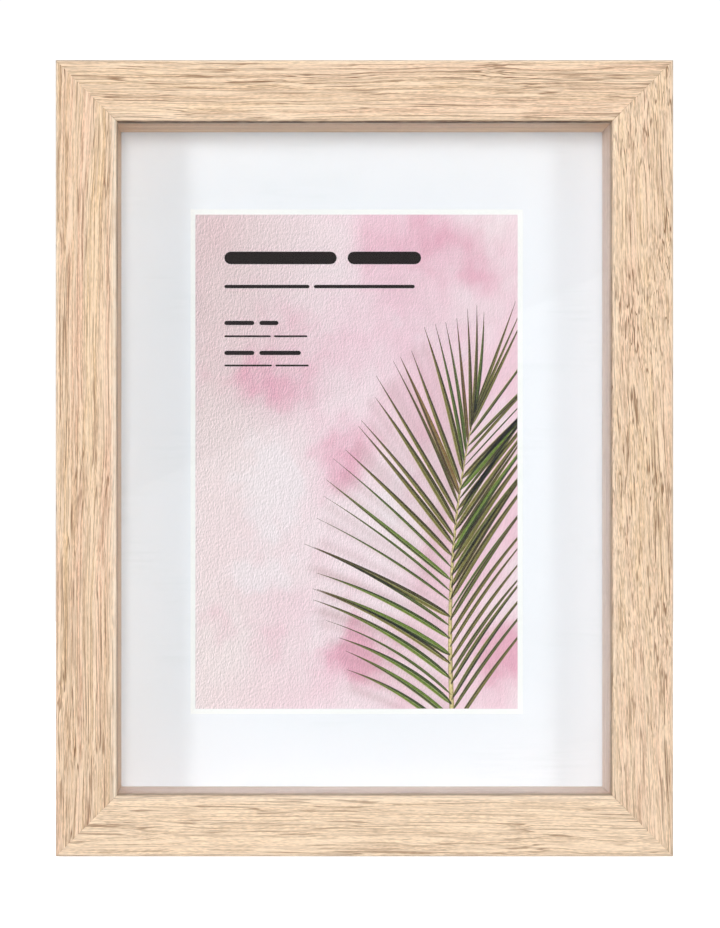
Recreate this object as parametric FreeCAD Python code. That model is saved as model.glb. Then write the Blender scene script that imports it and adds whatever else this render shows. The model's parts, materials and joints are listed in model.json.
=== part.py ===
"""Shadow box picture frame: a deep veneered frame with glass at the front, spacer strips,
a window mat, a picture, and a lift-out back panel that carries an easel strut.

Millimetres. +X is to the right seen from the front, +Y runs from the front to the back and
+Z is up. The origin is the middle of the face that the frame stands on."""

import math
import os

import FreeCAD
import Part
from FreeCAD import Vector

# ---- driving dimensions ----------------------------------------------------------------
GLASS_WIDTH = 152.4           # six inches
GLASS_HEIGHT = 203.2          # eight inches
REBATE_CLEARANCE = 0.8        # glass edge to rebate wall, each side
LIP_COVER = 6.8               # how far the lip reaches in over the rebate
FACE_WIDTH = 17.5             # moulding width seen from the front
FRAME_DEPTH = 35.0
LIP_DEPTH = 6.0               # front face to glass
GLASS_THICKNESS = 2.0
GLASS_SEAM = 0.25             # ground chamfer round the pane
SPACER_DEPTH = 22.0           # glass to mat
VENEER = 0.5
OUTER_ARRIS = 0.7             # radius along the outer front edge
INNER_ARRIS = 1.1             # radius along the inner front edge
MITRE_GAP = 0.03              # each member stops this far short of the mitre plane

SPACER_CLEARANCE = 0.2        # spacer to rebate wall
SPACER_SETBACK = 0.3          # spacer face behind the lip edge

MAT_WIDTH = 151.0
MAT_HEIGHT = 202.0
MAT_THICKNESS = 1.4           # also the width of the 45 degree window bevel
WINDOW_WIDTH = 94.6           # clear opening at the back of the bevel
WINDOW_HEIGHT = 145.1
WINDOW_X = -1.5               # window centre from the frame centre
WINDOW_Z = -0.7
SHEET_SHIFT_X = -1.3          # loose sheets sit to one side and low in the rebate
SHEET_SHIFT_Z = -1.2
PICTURE_WIDTH = 150.6
PICTURE_HEIGHT = 201.6
PICTURE_THICKNESS = 0.25
LAYER_GAP = 0.05              # between loose layers

BOARD_WIDTH = 151.6
BOARD_HEIGHT = 202.4
BOARD_THICKNESS = 2.9
BOARD_CORNER = 1.5

HINGE_Z = 130.0               # strut pivot height above the standing face
HINGE_WIDTH = 24.0
LEAF_THICKNESS = 0.8
LEAF_CORNER = 3.0
PIN_RADIUS = 0.95
PIN_HEAD = 0.4                # the upset ends stand out this far, sideways and lengthways
PIN_OVERHANG = 0.1            # pin past the knuckles at each end
KNUCKLE_BORE = 1.0
KNUCKLE_COUNT = 5
KNUCKLE_GAP = 0.2             # between neighbouring knuckles
SWEEP_CLEARANCE = 0.2         # round a knuckle that turns past the other leaf
FIXED_LEAF_HEIGHT = 16.0
MOVING_LEAF_HEIGHT = 18.0
STOP_ANGLE = 28.0             # strut opens this far before its stop tabs meet the fixed leaf
STOP_RELIEF = 0.1
RIVET_RADIUS = 1.2
RIVET_HEAD_RADIUS = 2.3
RIVET_HEAD_HEIGHT = 0.7
RIVET_HEAD_TAPER = 0.92       # head radius at the top as a share of that at the seat
RIVET_HEAD_ROUND = 0.56
RIVET_SPREAD = 6.5            # rivets stand this far either side of the middle
FIXED_RIVET_RISE = 10.0
MOVING_RIVET_DROP = 11.0

STRUT_THICKNESS = 2.4
STRUT_STANDOFF = 0.4          # strut to board, when closed
STRUT_TOP_GAP = 2.6           # pivot axis to the strut's top edge
STRUT_TOP_WIDTH = 24.0
STRUT_FOOT_WIDTH = 46.0
STRUT_NECK = 24.0             # straight part below the top edge
STRUT_FOOT_Z = 3.5
STRUT_FOOT_TOE = 12.0         # upright part at the foot
STRUT_TOP_CORNER = 2.5
STRUT_NECK_CURVE = 25.0
STRUT_TOE_CURVE = 12.0
STRUT_FOOT_CORNER = 3.0
STRUT_EASING = 0.4            # chamfer round the back edges

BUTTON_LENGTH = 13.0          # pivot to tip
BUTTON_BOSS_RADIUS = 4.2
BUTTON_TIP_RADIUS = 2.8
BUTTON_THICKNESS = 1.0
BUTTON_BORE = 1.55
BUTTON_LIFT = 0.1             # button to frame back, and to screw head
BUTTON_RIB_LENGTH = 6.0
BUTTON_RIB_WIDTH = 1.6
BUTTON_RIB_CORNER = 0.75
BUTTON_RIB_HEIGHT = 0.4
BUTTON_SPREAD = 58.0          # buttons stand this far above and below the middle
SCREW_RADIUS = 1.5
SCREW_HEAD_RADIUS = 3.0
SCREW_HEAD_HEIGHT = 1.7
SCREW_HEAD_ROUND = 1.2
SCREW_LENGTH = 12.0
SCREW_POINT = 3.0
RECESS_WIDTH = 0.8
RECESS_SPAN = 3.2
RECESS_DEPTH = 0.9

HANGER_LENGTH = 44.0
HANGER_HEIGHT = 8.0
HANGER_THICKNESS = 0.8
HANGER_CORNER = 2.5
HANGER_RISE = 1.4
HANGER_TAB = 7.0              # flat tab at each end
HANGER_RAMP = 2.0
HANGER_TEETH = 11
HANGER_TOOTH_PITCH = 2.1
HANGER_TOOTH_DEPTH = 1.7
HANGER_NOTCH_SHARE = 0.84     # of the pitch
NAIL_RADIUS = 0.7
NAIL_HEAD_RADIUS = 1.6
NAIL_HEAD_HEIGHT = 0.6
NAIL_HEAD_ROUND = 0.3
NAIL_LENGTH = 9.0

V_NAIL_THICKNESS = 0.5
V_NAIL_LEG = 3.4
V_NAIL_SPREAD = 38.0          # degrees between each leg and the mitre line
V_NAIL_DEPTH = 10.0
V_NAIL_SUNK = 0.2
V_NAIL_STATIONS = (4.5, 10.0)  # apex distance from the outer corner, along the mitre

BUMPER_RADIUS = 4.4
BUMPER_HEIGHT = 4.2
BUMPER_TOP_RADIUS = 3.9
BUMPER_ROUND = 1.0
BUMPER_CORNER_INSET = 19.0

PAST = 1.0                    # cutting shapes run this far past what they cut
SAME = 1e-6                   # lengths closer than this are equal

# ---- sizes and depths that follow --------------------------------------------------------
REBATE_WALL = FACE_WIDTH - LIP_COVER
FRAME_WIDTH = GLASS_WIDTH + 2 * (REBATE_CLEARANCE + REBATE_WALL)
FRAME_HEIGHT = GLASS_HEIGHT + 2 * (REBATE_CLEARANCE + REBATE_WALL)
MIDDLE_Z = FRAME_HEIGHT / 2
FRONT_Y = -FRAME_DEPTH / 2
BACK_Y = FRAME_DEPTH / 2
GLASS_Y = FRONT_Y + LIP_DEPTH
SPACER_Y = GLASS_Y + GLASS_THICKNESS
MAT_Y = SPACER_Y + SPACER_DEPTH + LAYER_GAP
PICTURE_Y = MAT_Y + MAT_THICKNESS + LAYER_GAP
BOARD_Y = PICTURE_Y + PICTURE_THICKNESS + LAYER_GAP
BOARD_BACK_Y = BOARD_Y + BOARD_THICKNESS
KNUCKLE_RADIUS = KNUCKLE_BORE + LEAF_THICKNESS
HINGE_Y = BOARD_BACK_Y + KNUCKLE_RADIUS
STRUT_Y = BOARD_BACK_Y + STRUT_STANDOFF
MOVING_LEAF_Y = HINGE_Y + KNUCKLE_BORE
STRUT_BACK_Y = STRUT_Y + STRUT_THICKNESS
BUTTON_Y = BACK_Y + BUTTON_LIFT
SCREW_SEAT_Y = BUTTON_Y + BUTTON_THICKNESS + BUTTON_LIFT
BUTTON_X = FRAME_WIDTH / 2 - REBATE_WALL / 2

# Each member: its outer corner, the way in towards the opening, and the way it runs.
SIDES = {
    "bottom": (Vector(-FRAME_WIDTH / 2, 0, 0), Vector(0, 0, 1), Vector(1, 0, 0), FRAME_WIDTH),
    "top": (Vector(-FRAME_WIDTH / 2, 0, FRAME_HEIGHT), Vector(0, 0, -1), Vector(1, 0, 0), FRAME_WIDTH),
    "left": (Vector(-FRAME_WIDTH / 2, 0, 0), Vector(1, 0, 0), Vector(0, 0, 1), FRAME_HEIGHT),
    "right": (Vector(FRAME_WIDTH / 2, 0, 0), Vector(-1, 0, 0), Vector(0, 0, 1), FRAME_HEIGHT),
}
DEPTHWISE = Vector(0, 1, 0)


# ---- shape helpers -------------------------------------------------------------------------
def outline_face(corners, to_3d):
    """A face from (a, b, radius) corners, each rounded by its radius, with to_3d placing a and b."""
    points = [Vector(a, b, 0) for a, b, _ in corners]
    ends = []
    for i, point in enumerate(points):
        radius = corners[i][2]
        if not radius:
            ends.append((point, None, point))
            continue
        back = (points[i - 1] - point).normalize()
        ahead = (points[(i + 1) % len(points)] - point).normalize()
        half = back.getAngle(ahead) / 2
        reach = radius / math.tan(half)
        bisector = (back + ahead).normalize()
        middle = point + bisector * (radius / math.sin(half) - radius)
        ends.append((point + back * reach, middle, point + ahead * reach))
    edges = []
    for i, (start, middle, stop) in enumerate(ends):
        if middle is not None:
            edges.append(Part.Arc(*(to_3d(p.x, p.y) for p in (start, middle, stop))).toShape())
        following = ends[(i + 1) % len(ends)][0]
        if (following - stop).Length > SAME:
            edges.append(Part.LineSegment(to_3d(stop.x, stop.y), to_3d(following.x, following.y)).toShape())
    return Part.Face(Part.Wire(Part.__sortEdges__(edges)))


def plate(corners, y_front, thickness):
    """A flat plate facing along Y, from (x, z, radius) corners."""
    return outline_face(corners, lambda x, z: Vector(x, y_front, z)).extrude(DEPTHWISE * thickness)


def rectangle(x_middle, z_middle, width, height, radius=0.0):
    """The (x, z, radius) corners of a rectangle."""
    half_width, half_height = width / 2, height / 2
    signs = ((-1, -1), (1, -1), (1, 1), (-1, 1))
    return [(x_middle + sx * half_width, z_middle + sz * half_height, radius) for sx, sz in signs]


def turned(profile, x, z):
    """A solid turned about the line through x, z along Y, from (radius, y, corner radius) points."""
    face = outline_face(profile, lambda r, y: Vector(x + r, y, z))
    return face.revolve(Vector(x, 0, z), DEPTHWISE, 360)


def cylinder_along_y(x, z, radius, y_start, y_end):
    return Part.makeCylinder(radius, y_end - y_start, Vector(x, y_start, z), DEPTHWISE)


def cylinder_along_x(radius, x_start, x_end, y, z):
    return Part.makeCylinder(radius, x_end - x_start, Vector(x_start, y, z), Vector(1, 0, 0))


def block(x_start, x_end, y_start, y_end, z_start, z_end):
    size = (x_end - x_start, y_end - y_start, z_end - z_start)
    return Part.makeBox(*size, Vector(x_start, y_start, z_start))


def mitred(side, profile):
    """A bar of one side, from a (distance in from the outer face, y, radius) profile, cut at 45 degrees."""
    corner, inward, run, length = SIDES[side]
    bar = outline_face(profile, lambda u, y: corner + inward * u + DEPTHWISE * y).extrude(run * length)
    trapezium = [
        corner + run * MITRE_GAP,
        corner + run * (length - MITRE_GAP),
        corner + run * (length - FACE_WIDTH - MITRE_GAP) + inward * FACE_WIDTH,
        corner + run * (FACE_WIDTH + MITRE_GAP) + inward * FACE_WIDTH,
    ]
    front = DEPTHWISE * (FRONT_Y - PAST)
    face = Part.Face(Part.makePolygon([p + front for p in trapezium + trapezium[:1]]))
    return bar.common(face.extrude(DEPTHWISE * (FRAME_DEPTH + 2 * PAST))).Solids[0]


# ---- frame ---------------------------------------------------------------------------------
def moulding_core(side):
    """The fibreboard moulding under the veneer: an L section of wall and lip."""
    return mitred(side, [
        (VENEER, BACK_Y, 0),
        (VENEER, FRONT_Y + VENEER, OUTER_ARRIS - VENEER),
        (FACE_WIDTH - VENEER, FRONT_Y + VENEER, INNER_ARRIS - VENEER),
        (FACE_WIDTH - VENEER, GLASS_Y, 0),
        (REBATE_WALL, GLASS_Y, 0),
        (REBATE_WALL, BACK_Y, 0),
    ])


def moulding_veneer(side):
    """Wood veneer wrapped over the outer face, the front and the lip's edge."""
    return mitred(side, [
        (0, BACK_Y, 0),
        (0, FRONT_Y, OUTER_ARRIS),
        (FACE_WIDTH, FRONT_Y, INNER_ARRIS),
        (FACE_WIDTH, GLASS_Y, 0),
        (FACE_WIDTH - VENEER, GLASS_Y, 0),
        (FACE_WIDTH - VENEER, FRONT_Y + VENEER, INNER_ARRIS - VENEER),
        (VENEER, FRONT_Y + VENEER, OUTER_ARRIS - VENEER),
        (VENEER, BACK_Y, 0),
    ])


def spacer(side):
    """A wrapped strip that holds the mat back from the glass."""
    outer = REBATE_WALL + SPACER_CLEARANCE
    inner = FACE_WIDTH - SPACER_SETBACK
    return mitred(side, [
        (outer, SPACER_Y, 0),
        (inner, SPACER_Y, 0),
        (inner, SPACER_Y + SPACER_DEPTH, 0),
        (outer, SPACER_Y + SPACER_DEPTH, 0),
    ])


def v_nails():
    """Chevron nails driven from the back across each mitre."""
    nails = []
    spread = math.radians(V_NAIL_SPREAD)
    depth_start = BACK_Y - V_NAIL_SUNK - V_NAIL_DEPTH
    for sign_x in (-1, 1):
        for sign_z in (-1, 1):
            corner = Vector(sign_x * FRAME_WIDTH / 2, 0, MIDDLE_Z + sign_z * FRAME_HEIGHT / 2)
            diagonal = Vector(-sign_x, 0, -sign_z).normalize()
            across = Vector(-sign_x, 0, sign_z).normalize()
            for station in V_NAIL_STATIONS:
                apex = corner + diagonal * station
                inner_apex = apex + diagonal * (V_NAIL_THICKNESS / math.sin(spread))
                legs = []
                for hand in (1, -1):
                    way = diagonal * math.cos(spread) + across * (hand * math.sin(spread))
                    legs.append([apex + way * V_NAIL_LEG, inner_apex + way * V_NAIL_LEG])
                ring = [apex, *legs[0], inner_apex, *reversed(legs[1]), apex]
                lift = DEPTHWISE * depth_start
                face = Part.Face(Part.makePolygon([p + lift for p in ring]))
                nails.append(face.extrude(DEPTHWISE * V_NAIL_DEPTH))
    return nails


def glass_pane():
    pane = plate(rectangle(0, MIDDLE_Z, GLASS_WIDTH, GLASS_HEIGHT), GLASS_Y, GLASS_THICKNESS)
    return pane.makeChamfer(GLASS_SEAM, pane.Edges)


def window_mat():
    """White board with a 45 degree bevelled window, wider at the front."""
    centre = (SHEET_SHIFT_X, MIDDLE_Z + SHEET_SHIFT_Z)
    board = plate(rectangle(*centre, MAT_WIDTH, MAT_HEIGHT), MAT_Y, MAT_THICKNESS)
    window = (WINDOW_X, MIDDLE_Z + WINDOW_Z)
    rings = []
    for y, grow in ((MAT_Y, MAT_THICKNESS), (MAT_Y + MAT_THICKNESS, 0.0)):
        corners = rectangle(*window, WINDOW_WIDTH + 2 * grow, WINDOW_HEIGHT + 2 * grow)
        points = [Vector(x, y, z) for x, z, _ in corners]
        rings.append(Part.makePolygon(points + points[:1]))
    return board.cut(Part.makeLoft(rings, True, True))


def picture_sheet():
    centre = (SHEET_SHIFT_X, MIDDLE_Z + SHEET_SHIFT_Z)
    return plate(rectangle(*centre, PICTURE_WIDTH, PICTURE_HEIGHT), PICTURE_Y, PICTURE_THICKNESS)


# ---- back hardware on the frame --------------------------------------------------------------
def button_places():
    """Name, x and z of each turn button's pivot, and the side it stands on."""
    for side, sign_x in (("left", -1), ("right", 1)):
        for level, sign_z in (("lower", -1), ("upper", 1)):
            yield f"{level}_{side}", sign_x * BUTTON_X, MIDDLE_Z + sign_z * BUTTON_SPREAD


def turn_button(x, z):
    """A teardrop clip that hangs down along the stile, with a pressed rib on its finger."""
    boss = cylinder_along_y(x, z, BUTTON_BOSS_RADIUS, BUTTON_Y, BUTTON_Y + BUTTON_THICKNESS)
    tip_z = z - BUTTON_LENGTH + BUTTON_TIP_RADIUS
    tip = cylinder_along_y(x, tip_z, BUTTON_TIP_RADIUS, BUTTON_Y, BUTTON_Y + BUTTON_THICKNESS)
    lean = math.asin((BUTTON_BOSS_RADIUS - BUTTON_TIP_RADIUS) / (z - tip_z))
    web = []
    for centre_z, radius in ((z, BUTTON_BOSS_RADIUS), (tip_z, BUTTON_TIP_RADIUS)):
        web.append((radius * math.cos(lean), centre_z - radius * math.sin(lean)))
    (boss_x, boss_z), (tip_x, low_z) = web
    ring = [(x - boss_x, boss_z, 0), (x + boss_x, boss_z, 0), (x + tip_x, low_z, 0), (x - tip_x, low_z, 0)]
    body = boss.fuse([plate(ring, BUTTON_Y, BUTTON_THICKNESS), tip]).removeSplitter()
    rib_z = (z - BUTTON_BOSS_RADIUS + tip_z) / 2
    rib_corners = rectangle(x, rib_z, BUTTON_RIB_WIDTH, BUTTON_RIB_LENGTH, BUTTON_RIB_CORNER)
    rib = plate(rib_corners, BUTTON_Y + BUTTON_THICKNESS, BUTTON_RIB_HEIGHT)
    bore = cylinder_along_y(x, z, BUTTON_BORE, BUTTON_Y - PAST, SCREW_SEAT_Y)
    return body.fuse(rib).cut(bore)


def pan_screw(x, z):
    """A pan head wood screw with a cross recess."""
    top = SCREW_SEAT_Y + SCREW_HEAD_HEIGHT
    tip = BACK_Y - SCREW_LENGTH
    screw = turned([
        (0, tip, 0),
        (SCREW_RADIUS, tip + SCREW_POINT, 0),
        (SCREW_RADIUS, SCREW_SEAT_Y, 0),
        (SCREW_HEAD_RADIUS, SCREW_SEAT_Y, 0),
        (SCREW_HEAD_RADIUS, top, SCREW_HEAD_ROUND),
        (0, top, 0),
    ], x, z)
    half_span, half_width = RECESS_SPAN / 2, RECESS_WIDTH / 2
    bottom = top - RECESS_DEPTH
    upright = block(x - half_width, x + half_width, bottom, top + PAST, z - half_span, z + half_span)
    level = block(x - half_span, x + half_span, bottom, top + PAST, z - half_width, z + half_width)
    return screw.cut([upright, level])


def hanger_nail_offsets():
    return (-(HANGER_LENGTH - HANGER_TAB) / 2, (HANGER_LENGTH - HANGER_TAB) / 2)


def sawtooth_hanger():
    """A stamped hanger about the origin: its bridge stands off the back and its lower edge is toothed."""
    end = HANGER_LENGTH / 2
    tab = end - HANGER_TAB
    deck = tab - HANGER_RAMP
    low, high = BACK_Y, BACK_Y + HANGER_RISE
    under = [(-end, low), (-tab, low), (-deck, high), (deck, high), (tab, low), (end, low)]
    section = [(x, y, 0) for x, y in under]
    section += [(x, y + HANGER_THICKNESS, 0) for x, y in reversed(under)]
    bottom = -HANGER_HEIGHT / 2
    strap = outline_face(section, lambda x, y: Vector(x, y, bottom)).extrude(Vector(0, 0, HANGER_HEIGHT))
    reach = HANGER_RISE + HANGER_THICKNESS + 2 * PAST
    trim = plate(rectangle(0, 0, HANGER_LENGTH, HANGER_HEIGHT, HANGER_CORNER), BACK_Y - PAST, reach)
    half = HANGER_TOOTH_PITCH * HANGER_NOTCH_SHARE / 2
    point = bottom + HANGER_TOOTH_DEPTH
    cuts = []
    for i in range(HANGER_TEETH):
        x = (i - (HANGER_TEETH - 1) / 2) * HANGER_TOOTH_PITCH
        notch = [(x - half, bottom, 0), (x + half, bottom, 0), (x, point, 0)]
        cuts.append(plate(notch, BACK_Y - PAST, reach))
    for x in hanger_nail_offsets():
        cuts.append(cylinder_along_y(x, 0, NAIL_RADIUS, BACK_Y - PAST, BACK_Y + HANGER_THICKNESS + PAST))
    return strap.common(trim).cut(cuts)


def hanger_nail(x):
    """A round nail through one tab of a hanger about the origin."""
    seat = BACK_Y + HANGER_THICKNESS
    tip = BACK_Y - NAIL_LENGTH
    return turned([
        (0, tip, 0),
        (NAIL_RADIUS, tip + 2 * NAIL_RADIUS, 0),
        (NAIL_RADIUS, seat, 0),
        (NAIL_HEAD_RADIUS, seat, 0),
        (NAIL_HEAD_RADIUS, seat + NAIL_HEAD_HEIGHT, NAIL_HEAD_ROUND),
        (0, seat + NAIL_HEAD_HEIGHT, 0),
    ], x, 0)


def on_top_rail(shape):
    moved = shape.copy()
    moved.translate(Vector(0, 0, FRAME_HEIGHT - REBATE_WALL / 2))
    return moved


def on_left_stile(shape):
    """Turned so that the toothed edge faces the middle of the frame, for hanging it sideways."""
    moved = shape.copy()
    moved.rotate(Vector(0, 0, 0), DEPTHWISE, -90)
    moved.translate(Vector(-FRAME_WIDTH / 2 + REBATE_WALL / 2, 0, MIDDLE_Z))
    return moved


def bumpers():
    """Soft pads near the corners that hold the frame off the wall."""
    pads = []
    for sign_x in (-1, 1):
        for sign_z in (-1, 1):
            x = sign_x * (FRAME_WIDTH / 2 - BUMPER_CORNER_INSET)
            z = MIDDLE_Z + sign_z * (FRAME_HEIGHT - REBATE_WALL) / 2
            pads.append(turned([
                (0, BACK_Y, 0),
                (BUMPER_RADIUS, BACK_Y, 0),
                (BUMPER_TOP_RADIUS, BACK_Y + BUMPER_HEIGHT, BUMPER_ROUND),
                (0, BACK_Y + BUMPER_HEIGHT, 0),
            ], x, z))
    return pads


# ---- back panel and strut --------------------------------------------------------------------
def rivet(x, z, seat_y, end_y):
    """A domed rivet whose head sits on seat_y and whose shank ends flush at end_y."""
    return turned([
        (0, end_y, 0),
        (RIVET_RADIUS, end_y, 0),
        (RIVET_RADIUS, seat_y, 0),
        (RIVET_HEAD_RADIUS, seat_y, 0),
        (RIVET_HEAD_RADIUS * RIVET_HEAD_TAPER, seat_y + RIVET_HEAD_HEIGHT, RIVET_HEAD_ROUND),
        (0, seat_y + RIVET_HEAD_HEIGHT, 0),
    ], x, z)


def board_rivets():
    z = HINGE_Z + FIXED_RIVET_RISE
    return [rivet(x, z, BOARD_BACK_Y + LEAF_THICKNESS, BOARD_Y) for x in (-RIVET_SPREAD, RIVET_SPREAD)]


def strut_rivets():
    z = HINGE_Z - MOVING_RIVET_DROP
    seat = MOVING_LEAF_Y + LEAF_THICKNESS
    return [rivet(x, z, seat, STRUT_Y) for x in (-RIVET_SPREAD, RIVET_SPREAD)]


def backing_board():
    centre = (SHEET_SHIFT_X / 4, MIDDLE_Z + SHEET_SHIFT_Z / 2)
    corners = rectangle(*centre, BOARD_WIDTH, BOARD_HEIGHT, BOARD_CORNER)
    return plate(corners, BOARD_Y, BOARD_THICKNESS).cut(board_rivets())


def knuckle_spans(first):
    """Start and end x of every second knuckle, beginning with the one numbered first."""
    pitch = HINGE_WIDTH / KNUCKLE_COUNT
    for i in range(first, KNUCKLE_COUNT, 2):
        start = -HINGE_WIDTH / 2 + i * pitch
        yield start + KNUCKLE_GAP / 2, start + pitch - KNUCKLE_GAP / 2


def barrel_pieces(spans, radius):
    return [cylinder_along_x(radius, start, end, HINGE_Y, HINGE_Z) for start, end in spans]


def leaf(leaf_plate, own_first, other_first, rivets):
    """A hinge leaf: its plate, its own knuckles, and room for the other leaf's to turn."""
    pitch = HINGE_WIDTH / KNUCKLE_COUNT
    room = []
    for start, end in knuckle_spans(other_first):
        widened = (start - KNUCKLE_GAP, end + KNUCKLE_GAP)
        room += barrel_pieces([widened], KNUCKLE_RADIUS + SWEEP_CLEARANCE)
    bore = cylinder_along_x(KNUCKLE_BORE, -pitch * KNUCKLE_COUNT, pitch * KNUCKLE_COUNT, HINGE_Y, HINGE_Z)
    knuckles = barrel_pieces(knuckle_spans(own_first), KNUCKLE_RADIUS)
    return leaf_plate.cut(room).fuse(knuckles).cut([bore, *rivets]).removeSplitter()


def hinge_fixed_leaf():
    width, rise = HINGE_WIDTH - KNUCKLE_GAP, FIXED_LEAF_HEIGHT
    corners = [
        (-width / 2, HINGE_Z, 0),
        (width / 2, HINGE_Z, 0),
        (width / 2, HINGE_Z + rise, LEAF_CORNER),
        (-width / 2, HINGE_Z + rise, LEAF_CORNER),
    ]
    return leaf(plate(corners, BOARD_BACK_Y, LEAF_THICKNESS), 0, 1, board_rivets())


def hinge_moving_leaf():
    """Lies on the strut's back face. Its stop tabs stand up past the pin and end the swing."""
    width, drop = HINGE_WIDTH - KNUCKLE_GAP, MOVING_LEAF_HEIGHT
    corners = [
        (-width / 2, HINGE_Z - drop, LEAF_CORNER),
        (width / 2, HINGE_Z - drop, LEAF_CORNER),
        (width / 2, HINGE_Z, 0),
        (-width / 2, HINGE_Z, 0),
    ]
    stop = math.radians(STOP_ANGLE)
    tab_height = KNUCKLE_BORE * (1 + math.cos(stop)) / math.sin(stop) - STOP_RELIEF
    tabs = []
    for start, end in knuckle_spans(1):
        middle = (start + end) / 2
        tab = rectangle(middle, HINGE_Z + tab_height / 2, end - start, tab_height)
        tabs.append(plate(tab, MOVING_LEAF_Y, LEAF_THICKNESS))
    moving_plate = plate(corners, MOVING_LEAF_Y, LEAF_THICKNESS).fuse(tabs)
    return leaf(moving_plate, 1, 0, strut_rivets())


def hinge_pin():
    """Runs through all the knuckles, with a small upset head at each end."""
    half = HINGE_WIDTH / 2 + PIN_OVERHANG
    pin = cylinder_along_x(PIN_RADIUS, -half, half, HINGE_Y, HINGE_Z)
    heads = [
        cylinder_along_x(PIN_RADIUS + PIN_HEAD, start, start + PIN_HEAD, HINGE_Y, HINGE_Z)
        for start in (-half - PIN_HEAD, half)
    ]
    return pin.fuse(heads)


def easel_strut():
    """A board leg, straight at the hinge and flared to a wide foot, with eased back edges."""
    top = HINGE_Z - STRUT_TOP_GAP
    neck, toe = top - STRUT_NECK, STRUT_FOOT_Z + STRUT_FOOT_TOE
    half_top, half_foot = STRUT_TOP_WIDTH / 2, STRUT_FOOT_WIDTH / 2
    right = [
        (half_top, top, STRUT_TOP_CORNER),
        (half_top, neck, STRUT_NECK_CURVE),
        (half_foot, toe, STRUT_TOE_CURVE),
        (half_foot, STRUT_FOOT_Z, STRUT_FOOT_CORNER),
    ]
    left = [(-x, z, radius) for x, z, radius in reversed(right)]
    leg = plate(right + left, STRUT_Y, STRUT_THICKNESS)
    back_edges = [e for e in leg.Edges if abs(e.BoundBox.YMin - STRUT_BACK_Y) < SAME]
    return leg.makeChamfer(STRUT_EASING, back_edges).cut(strut_rivets())


# ---- assembly -----------------------------------------------------------------------------------
def build():
    """Every node's solids, by node name."""
    nails_at_corners = v_nails()
    screws = [pan_screw(x, z) for _, x, z in button_places()]
    hanger_nails = [hanger_nail(x) for x in hanger_nail_offsets()]
    top_nails = [on_top_rail(nail) for nail in hanger_nails]
    side_nails = [on_left_stile(nail) for nail in hanger_nails]
    driven_in = nails_at_corners + screws + top_nails + side_nails

    nodes = {}
    for side in SIDES:
        nodes[f"moulding_core_{side}"] = [moulding_core(side).cut(driven_in)]
        nodes[f"veneer_{side}"] = [moulding_veneer(side)]
        nodes[f"spacer_{side}"] = [spacer(side)]
    nodes["corner_v_nails"] = nails_at_corners
    nodes["glass_pane"] = [glass_pane()]
    nodes["window_mat"] = [window_mat()]
    nodes["picture_sheet"] = [picture_sheet()]
    nodes["turn_button_screws"] = screws
    for name, x, z in button_places():
        nodes[f"turn_button_{name}"] = [turn_button(x, z)]
    hanger = sawtooth_hanger()
    nodes["hanger_upright"] = [on_top_rail(hanger)]
    nodes["hanger_sideways"] = [on_left_stile(hanger)]
    nodes["hanger_nails"] = top_nails + side_nails
    nodes["wall_bumpers"] = bumpers()
    nodes["backing_board"] = [backing_board()]
    nodes["hinge_fixed_leaf"] = [hinge_fixed_leaf()]
    nodes["hinge_pin"] = [hinge_pin()]
    nodes["board_rivets"] = board_rivets()
    nodes["easel_strut"] = [easel_strut()]
    nodes["hinge_moving_leaf"] = [hinge_moving_leaf()]
    nodes["strut_rivets"] = strut_rivets()
    return nodes


def main():
    os.makedirs("parts", exist_ok=True)
    for name, shapes in build().items():
        solids = [solid for shape in shapes for solid in shape.Solids]
        bad = [solid for solid in solids if not solid.isValid() or solid.Volume <= 0]
        if bad or len(solids) != len(shapes):
            raise ValueError(f"{name}: {len(solids)} solids from {len(shapes)} shapes, {len(bad)} bad")
        whole = solids[0] if len(solids) == 1 else Part.makeCompound(solids)
        whole.exportStep(f"parts/{name}.step")
        box = whole.BoundBox
        size = f"{box.XLength:7.2f} {box.YLength:6.2f} {box.ZLength:7.2f} mm"
        print(f"{name:28s} {len(solids)} solid(s) {size}")


main()
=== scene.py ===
import json
import math
import random

import bmesh
import bpy
import numpy as np
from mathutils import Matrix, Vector


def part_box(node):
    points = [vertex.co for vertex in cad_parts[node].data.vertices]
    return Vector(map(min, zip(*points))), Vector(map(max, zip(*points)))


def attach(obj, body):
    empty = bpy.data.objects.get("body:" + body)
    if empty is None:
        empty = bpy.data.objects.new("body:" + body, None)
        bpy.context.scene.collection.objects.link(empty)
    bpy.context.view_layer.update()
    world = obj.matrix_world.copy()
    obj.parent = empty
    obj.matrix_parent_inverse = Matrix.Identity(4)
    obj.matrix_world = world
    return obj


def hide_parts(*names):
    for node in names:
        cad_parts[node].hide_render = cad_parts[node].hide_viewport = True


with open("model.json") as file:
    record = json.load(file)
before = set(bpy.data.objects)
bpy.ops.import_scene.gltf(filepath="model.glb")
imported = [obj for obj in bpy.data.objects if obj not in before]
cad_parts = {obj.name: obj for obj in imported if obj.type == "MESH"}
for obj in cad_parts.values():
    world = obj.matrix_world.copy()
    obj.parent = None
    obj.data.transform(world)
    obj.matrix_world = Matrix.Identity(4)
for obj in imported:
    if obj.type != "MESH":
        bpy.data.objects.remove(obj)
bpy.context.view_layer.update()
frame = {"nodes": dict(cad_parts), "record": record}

# The looks of a shadow box picture frame: pale oak veneer, glass, wood-look spacers, a white mat and
# a printed palm frond. Everything is in metres, in the frame's own axes: +Y runs to the back.

MM = 0.001
record = frame["record"]

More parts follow.
